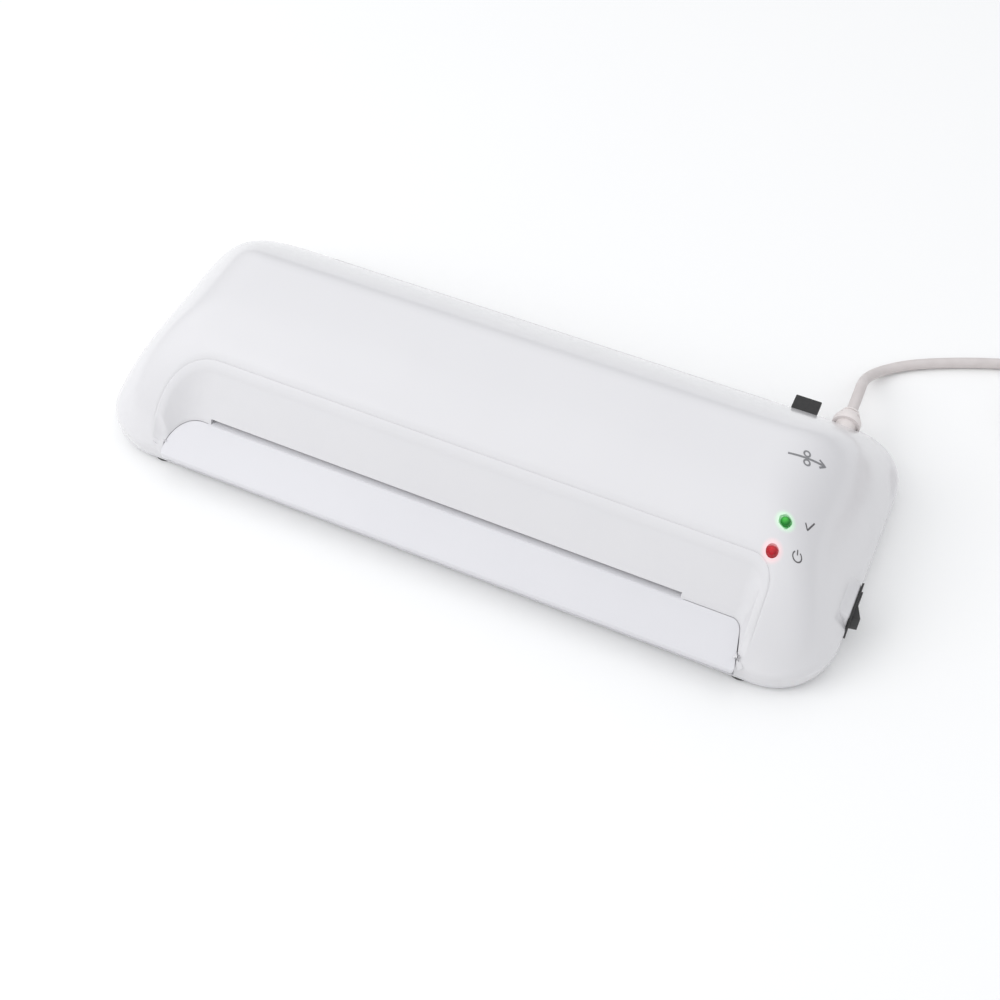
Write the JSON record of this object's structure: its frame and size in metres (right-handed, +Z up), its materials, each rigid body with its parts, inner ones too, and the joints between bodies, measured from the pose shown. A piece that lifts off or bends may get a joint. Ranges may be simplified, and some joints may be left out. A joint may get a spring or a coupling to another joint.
{
  "type": "pouch laminator",
  "caption": "Tabletop A4 pouch laminator: domed white casing with a sloping entry tray, heated roller pair, rear release lever, side rocker switch and mains lead.",
  "frame": {"origin": "middle of the footprint, tray lip and rocker included, on the surface that the feet stand on", "axes": "+X along the casing towards the switch end, +Y the way a pouch travels, from entry to exit, +Z up"},
  "size_m": [0.4856, 0.251, 0.0659],
  "materials": {
    "cover_white": "glossy moulded ABS",
    "housing_white": "satin-gloss moulded ABS",
    "foot_rubber": "matt",
    "screw_steel": "zinc plated",
    "frame_steel": "galvanised sheet",
    "shaft_steel": "turned",
    "silicone": "matt silicone",
    "nylon": "moulded nylon",
    "bronze": "sintered",
    "spring_steel": "wire",
    "aluminium": "extruded",
    "mica": "mica laminate",
    "ceramic": "fired",
    "black_plastic": "fine texture",
    "board_green": "solder mask",
    "component": "moulded",
    "lamp_green": "lit translucent lens",
    "lamp_red": "lit translucent lens",
    "motor_can": "plated can",
    "cord_grey": "soft PVC"
  },
  "bodies": {
    "housing": {"top_cover": "cover_white", "lower_housing": "housing_white", "rubber_feet": "foot_rubber", "case_screws": "screw_steel", "left_side_frame": "frame_steel", "right_side_frame": "frame_steel", "left_lower_bush": "bronze", "right_lower_bush": "bronze", "left_pressure_spring": "spring_steel", "right_pressure_spring": "spring_steel", "frame_screws": "screw_steel", "tie_rods": "shaft_steel", "tie_rod_screws": "screw_steel", "idler_pin": "shaft_steel", "gear_motor": "motor_can", "motor_bracket": "frame_steel", "motor_standoffs": "shaft_steel", "motor_screws": "screw_steel", "lower_heater_plate": "aluminium", "upper_heater_plate": "aluminium", "lower_heating_element": "mica", "upper_heating_element": "mica", "thermostat": "ceramic", "thermal_fuse": "ceramic", "lower_exit_guide": "nylon", "upper_exit_guide": "nylon", "control_board": "board_green", "board_components": "component", "board_screws": "screw_steel", "led_board": "board_green", "ready_lamp": "lamp_green", "power_lamp": "lamp_red", "switch_body": "black_plastic", "strain_relief": "cord_grey", "power_cord": "cord_grey", "cord_coil": "cord_grey", "power_plug": "cord_grey"},
    "lower_roller": {"lower_roller_shaft": "shaft_steel", "lower_roller_sleeve": "silicone", "lower_roller_gear": "nylon"},
    "carriage": {"left_bearing_block": "nylon", "right_bearing_block": "nylon"},
    "upper_roller": {"upper_roller_shaft": "shaft_steel", "upper_roller_sleeve": "silicone", "upper_roller_gear": "nylon"},
    "idler": {"idler_gear": "nylon"},
    "motor_output": {"motor_pinion": "nylon", "motor_shaft": "shaft_steel"},
    "release": {"release_shaft": "shaft_steel", "left_release_cam": "nylon", "right_release_cam": "nylon", "release_lever": "black_plastic"},
    "rocker": {"rocker": "black_plastic"}
  },
  "joints": [
    {"name": "lower_roller_turn", "type": "hinge", "parent": "housing", "child": "lower_roller", "pos_m": [-0.0021, -0.0038, 0.0179], "axis": [1, 0, 0], "continuous": true},
    {"name": "release_press", "type": "hinge", "parent": "housing", "child": "release", "pos_m": [-0.0021, 0.0172, 0.0382], "axis": [-1, 0, 0], "range_deg": [0, 7]},
    {"name": "carriage_lift", "type": "slide", "parent": "housing", "child": "carriage", "axis": [0, 0, 1], "range_m": [0, 0.001], "deforming": ["left_pressure_spring", "right_pressure_spring"]},
    {"name": "upper_roller_turn", "type": "hinge", "parent": "carriage", "child": "upper_roller", "pos_m": [-0.0021, -0.0038, 0.0387], "axis": [1, 0, 0], "continuous": true},
    {"name": "idler_turn", "type": "hinge", "parent": "housing", "child": "idler", "pos_m": [-0.0021, 0.019, 0.0195], "axis": [1, 0, 0], "continuous": true},
    {"name": "motor_turn", "type": "hinge", "parent": "housing", "child": "motor_output", "pos_m": [-0.0021, 0.0252, 0.0371], "axis": [1, 0, 0], "continuous": true},
    {"name": "rocker_tip", "type": "hinge", "parent": "housing", "child": "rocker", "pos_m": [0.1794, -0.0258, 0.0145], "axis": [0, 0, -1], "range_deg": [0, 22]}
  ],
  "couplings": [
    {"joint": "upper_roller_turn", "follows": "lower_roller_turn", "ratio": -1},
    {"joint": "idler_turn", "follows": "lower_roller_turn", "ratio": -0.83333},
    {"joint": "motor_turn", "follows": "lower_roller_turn", "ratio": 1.6667},
    {"joint": "release_press", "follows": "carriage_lift", "rad_per_m": 122}
  ]
}
